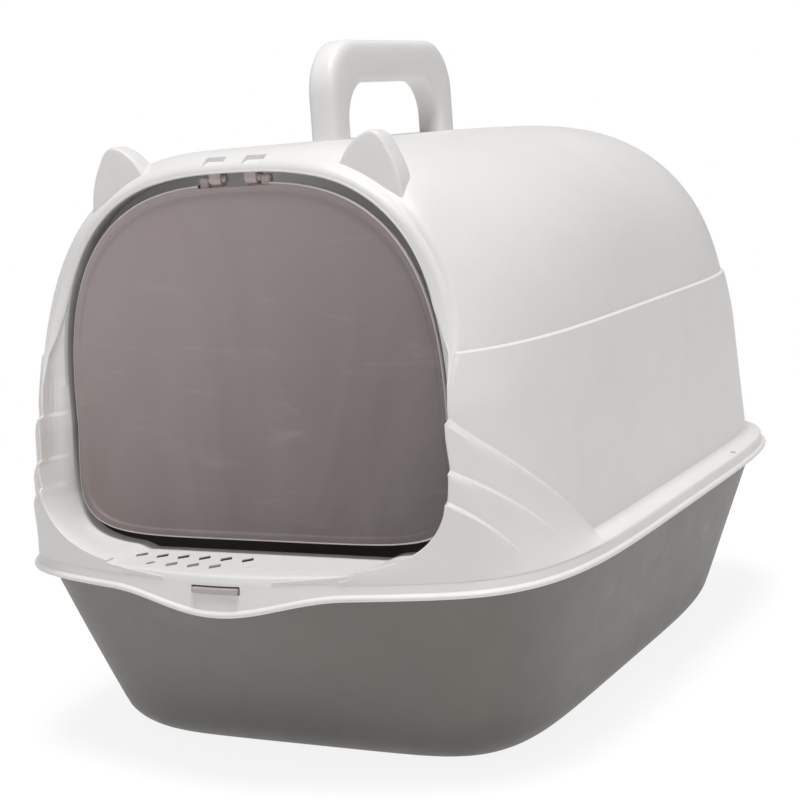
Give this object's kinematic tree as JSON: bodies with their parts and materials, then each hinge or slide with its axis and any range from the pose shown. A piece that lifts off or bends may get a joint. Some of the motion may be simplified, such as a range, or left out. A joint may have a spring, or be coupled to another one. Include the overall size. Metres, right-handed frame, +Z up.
{
  "type": "hooded litter box",
  "caption": "Cat litter tray under a lift-off hood with cat ears, a swinging translucent door, a carry handle and a roof filter.",
  "frame": {"origin": "on the ground under the middle of the hood's bead, which is the middle of the whole object's box", "axes": "+Z up, the door faces -Y, +X is to the right of someone who looks at the door"},
  "size_m": [0.37, 0.54, 0.4171],
  "materials": {
    "tray_plastic": "fine satin, warm taupe grey polypropylene",
    "catch_plastic": "satin, light taupe",
    "hood_plastic": "satin, warm white polypropylene",
    "door_plastic": "translucent smoke, frosted",
    "handle_plastic": "satin, white polypropylene",
    "carbon_felt": "black activated-carbon felt"
  },
  "bodies": {
    "tray": {"tray": "tray_plastic", "front_catch": "catch_plastic"},
    "hood": {"hood": "hood_plastic", "hinge_hooks": "hood_plastic", "carry_handle": "handle_plastic"},
    "door": {"swing_door": "door_plastic"},
    "filter": {"filter_cover": "hood_plastic", "carbon_filter": "carbon_felt"}
  },
  "joints": [
    {"name": "hood_lift", "type": "slide", "parent": "tray", "child": "hood", "axis": [0, 0, 1], "range_m": [0, 0.15], "deforming": ["front_catch"]},
    {"name": "door_swing", "type": "hinge", "parent": "hood", "child": "door", "pos_m": [0, -0.21, 0.3406], "axis": [1, 0, 0], "range_deg": [-60, 72]},
    {"name": "filter_drop", "type": "slide", "parent": "hood", "child": "filter", "axis": [0, 0, -1], "range_m": [0, 0.04]}
  ]
}
